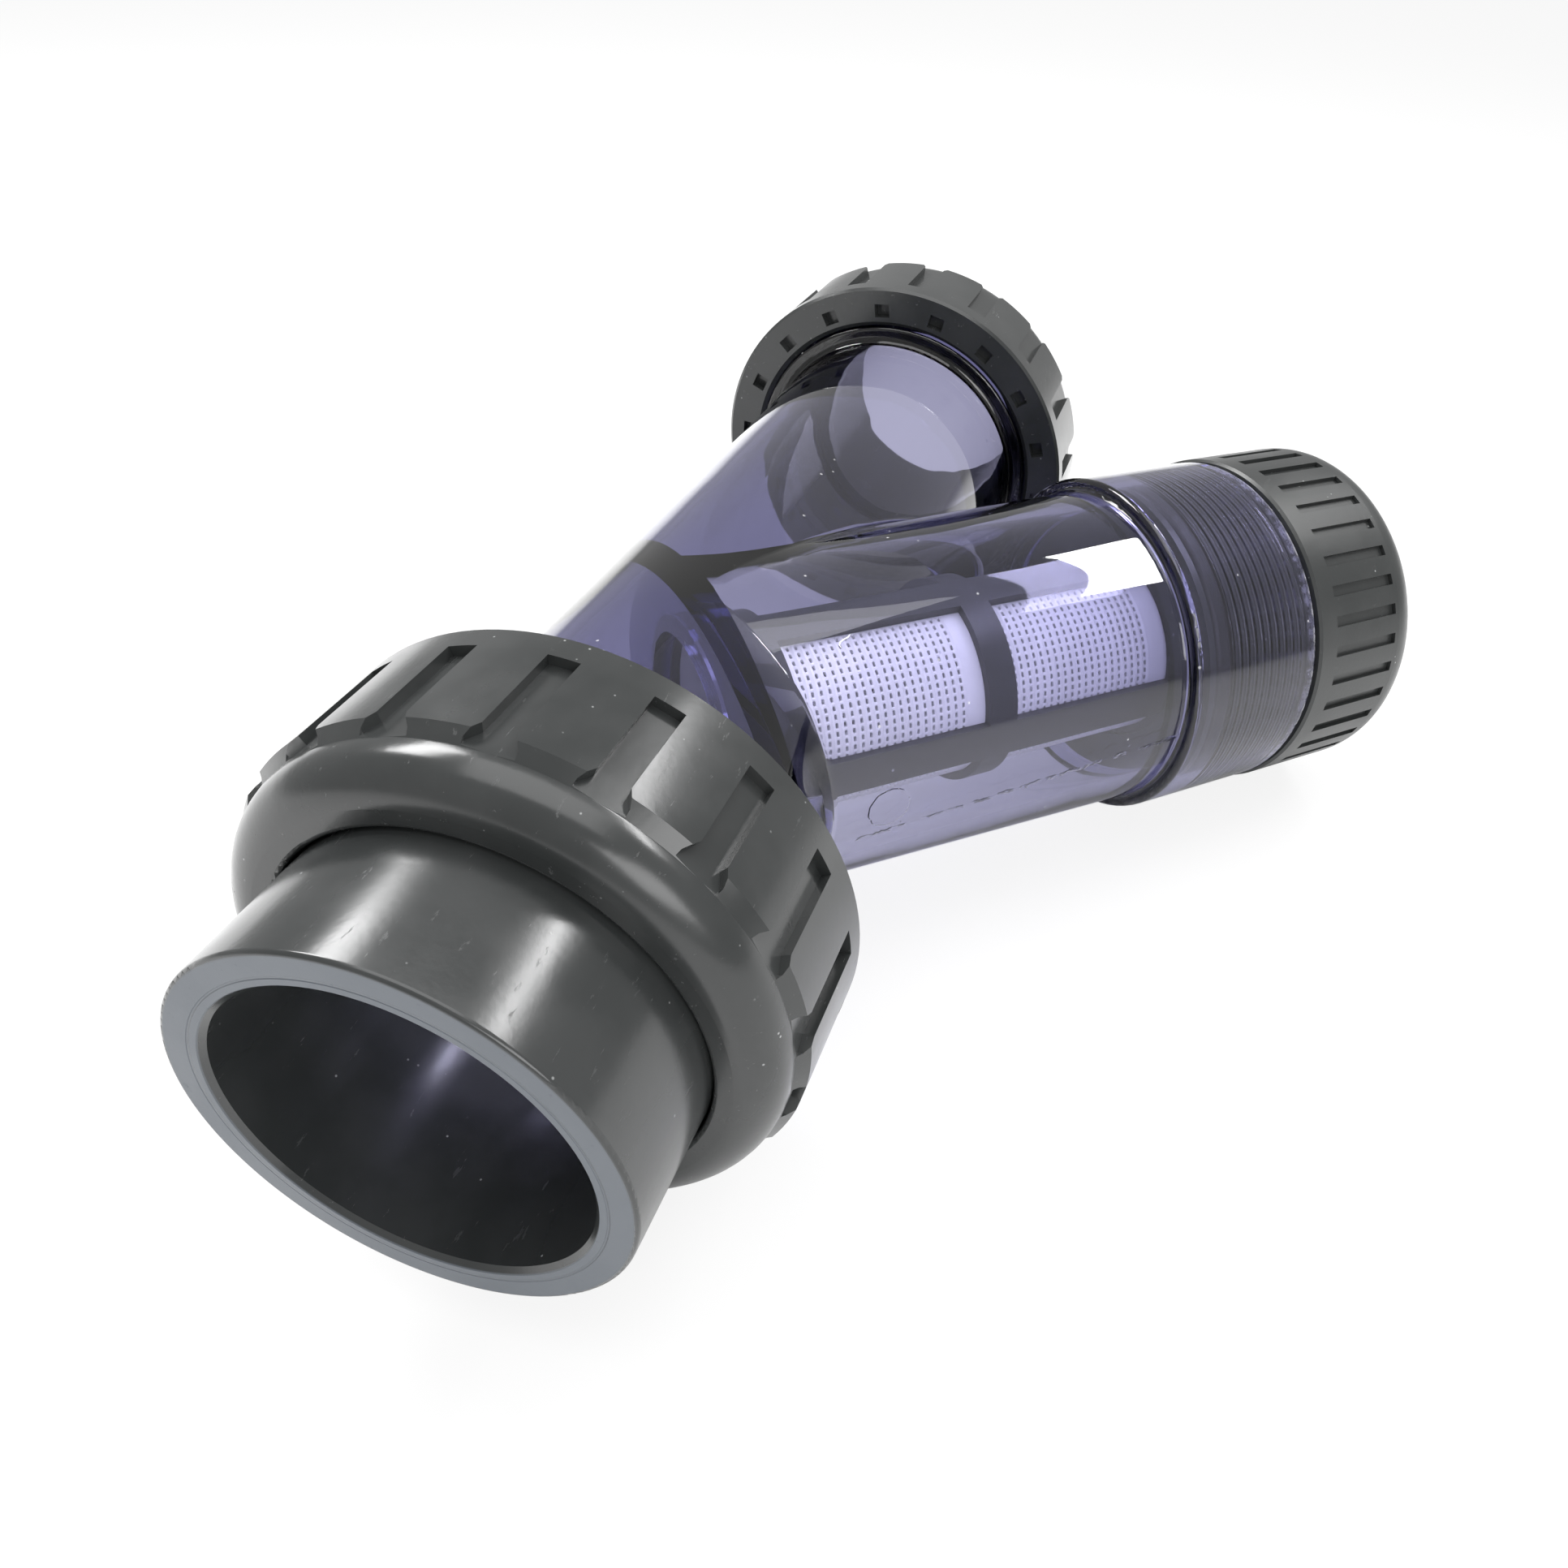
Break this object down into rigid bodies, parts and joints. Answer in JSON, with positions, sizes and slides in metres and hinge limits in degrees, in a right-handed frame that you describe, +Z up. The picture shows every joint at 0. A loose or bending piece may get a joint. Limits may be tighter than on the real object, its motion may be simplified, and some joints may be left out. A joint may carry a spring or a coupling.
{
  "type": "y strainer",
  "caption": "Clear pipe strainer with a 45 degree leg that holds a removable screen behind a screw cap, and a union end for glued pipe at each side.",
  "frame": {"origin": "on the run's axis, where the parallel bore of the inlet socket begins, 1 mm inside its mouth", "axes": "+X along the run from inlet to outlet; +Z up, with the strainer lying on its two nuts and the rim of the cap; the leg points to the -Y side, 45 degrees from +X, and 3.4 degrees down"},
  "size_m": [0.3107, 0.2027, 0.104],
  "materials": {
    "clear_pvc": "clear, violet tint, moulded gloss",
    "grey_pvc": "dark grey, smooth gloss",
    "nut_pvc": "dark grey, satin gloss with scuffs",
    "cap_pvc": "dark grey, satin",
    "seal_rubber": "black, dull",
    "cage_plastic": "dark grey, satin",
    "sleeve_plastic": "natural white, satin"
  },
  "bodies": {
    "body": {"strainer_body": "clear_pvc", "inlet_connector": "grey_pvc", "outlet_connector": "grey_pvc", "inlet_face_seal": "seal_rubber", "outlet_face_seal": "seal_rubber"},
    "inlet_nut": {"inlet_union_nut": "nut_pvc"},
    "outlet_nut": {"outlet_union_nut": "nut_pvc"},
    "screen": {"screen_sleeve": "sleeve_plastic", "screen_cage_mouth": "cage_plastic", "screen_cage_waist": "cage_plastic", "screen_cage_end": "cage_plastic", "screen_cage_near_bar_1": "cage_plastic", "screen_cage_near_bar_2": "cage_plastic", "screen_cage_near_bar_3": "cage_plastic", "screen_cage_near_bar_4": "cage_plastic", "screen_cage_far_bar_1": "cage_plastic", "screen_cage_far_bar_2": "cage_plastic", "screen_cage_far_bar_3": "cage_plastic", "screen_cage_far_bar_4": "cage_plastic"},
    "seal_ring": {"cap_seal": "seal_rubber"},
    "cap": {"cleanout_cap": "cap_pvc"}
  },
  "joints": [
    {"name": "inlet_nut_turn", "type": "hinge", "parent": "body", "child": "inlet_nut", "pos_m": [0, 0, 0], "axis": [1, 0, 0], "continuous": true},
    {"name": "outlet_nut_turn", "type": "hinge", "parent": "body", "child": "outlet_nut", "pos_m": [0.3087, 0, 0], "axis": [-1, 0, 0], "continuous": true},
    {"name": "screen_draw", "type": "slide", "parent": "body", "child": "screen", "axis": [0.7071, -0.7046, -0.0595], "range_m": [0, 0.15]},
    {"name": "cap_advance", "type": "slide", "parent": "screen", "child": "seal_ring", "axis": [0.7071, -0.7046, -0.0595], "range_m": [0, 0.01847]},
    {"name": "cap_turn", "type": "hinge", "parent": "seal_ring", "child": "cap", "pos_m": [0.10475, 0, 0], "axis": [0.7071, -0.7046, -0.0595], "range_deg": [0, 2880]}
  ],
  "couplings": [
    {"joint": "cap_advance", "follows": "cap_turn", "m_per_rad": 0.00036749}
  ]
}
